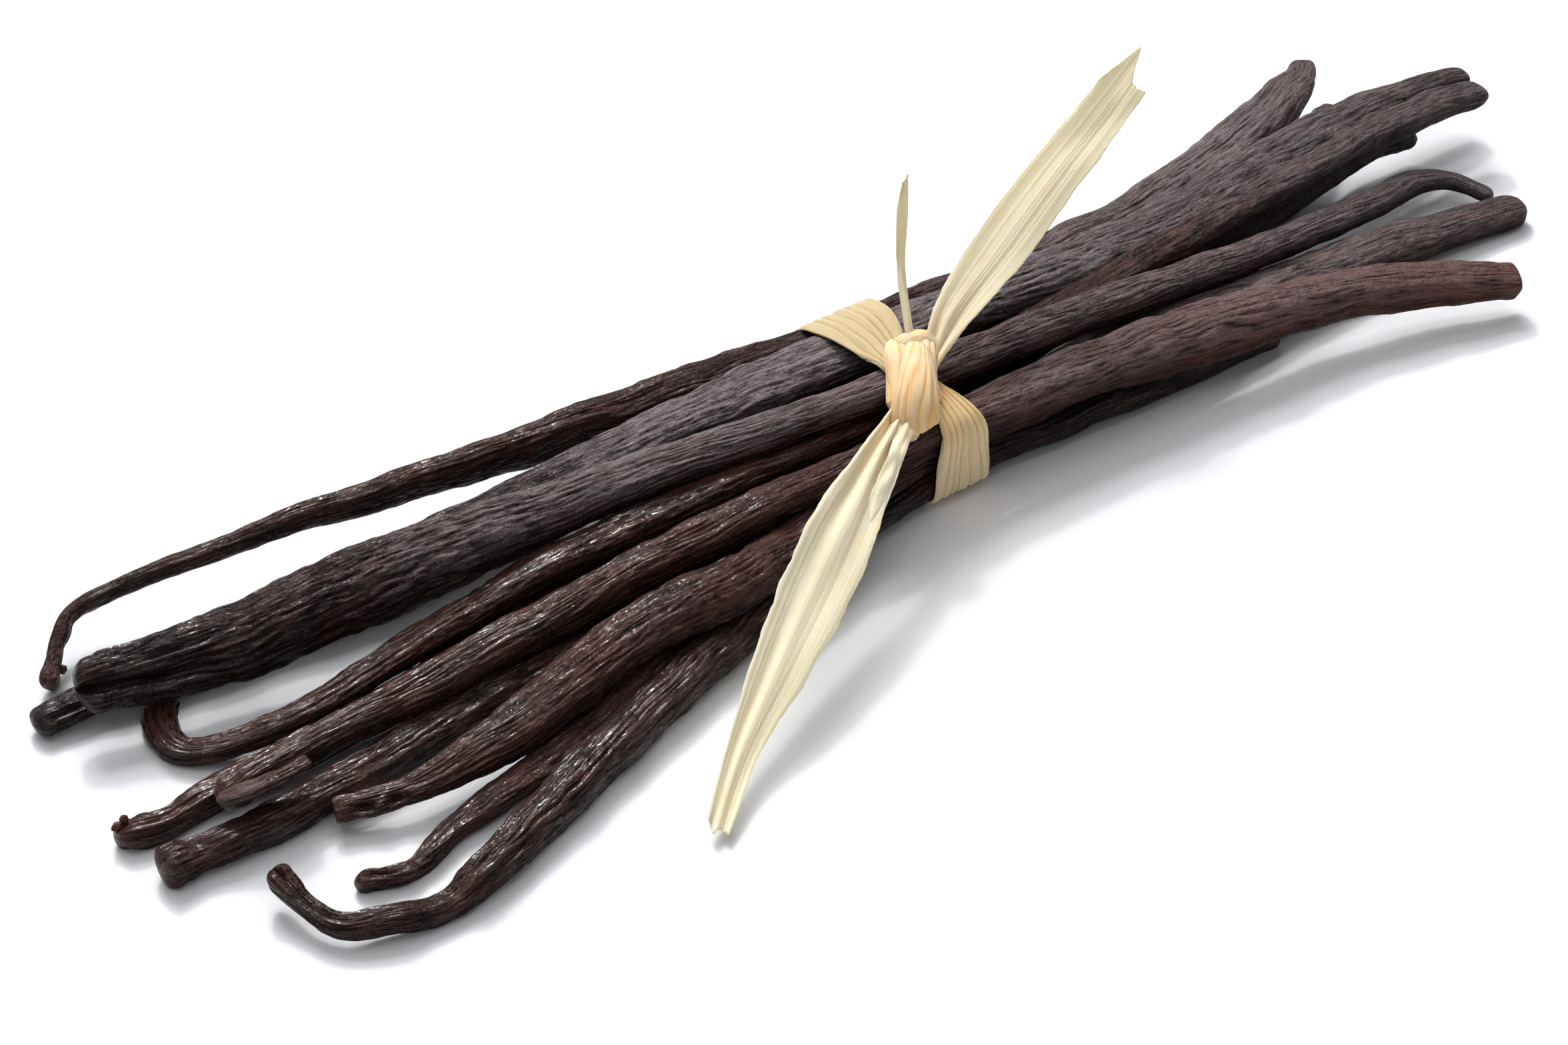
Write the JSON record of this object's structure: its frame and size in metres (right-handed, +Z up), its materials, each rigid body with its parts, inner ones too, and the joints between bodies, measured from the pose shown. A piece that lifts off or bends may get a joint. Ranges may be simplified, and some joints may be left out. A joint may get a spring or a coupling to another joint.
{
  "type": "bundle of vanilla pods",
  "caption": "Long dark wrinkled vanilla pods with hooked, folded and blunt ends, lying flat and tied round the middle with a knotted raffia strip.",
  "frame": {"origin": "on the plane the bundle lies on, under the middle of the bundle's box", "axes": "+X along the bundle towards the straighter ends, +Y across it towards the back, +Z up; the knot and the raffia tails face -Y and up"},
  "size_m": [0.1912, 0.0636, 0.033],
  "materials": {
    "pod_black": "wrinkled oily skin of a cured vanilla pod, brown-black, satin with glossy ridges",
    "pod_brown": "wrinkled oily skin of a cured vanilla pod, dark reddish brown, satin with glossy ridges",
    "raffia": "pale straw-coloured raffia leaf, dry, finely ribbed along its length"
  },
  "bodies": {
    "root": {"pod_fat": "pod_black", "pod_folded": "pod_brown", "pod_flat": "pod_brown", "pod_back_thin": "pod_black", "pod_shiny": "pod_black", "pod_front_hook": "pod_black", "pod_hook": "pod_brown", "pod_disc_end": "pod_black", "pod_knob": "pod_brown", "pod_front_thin": "pod_black", "raffia_tie": "raffia"}
  },
  "joints": []
}
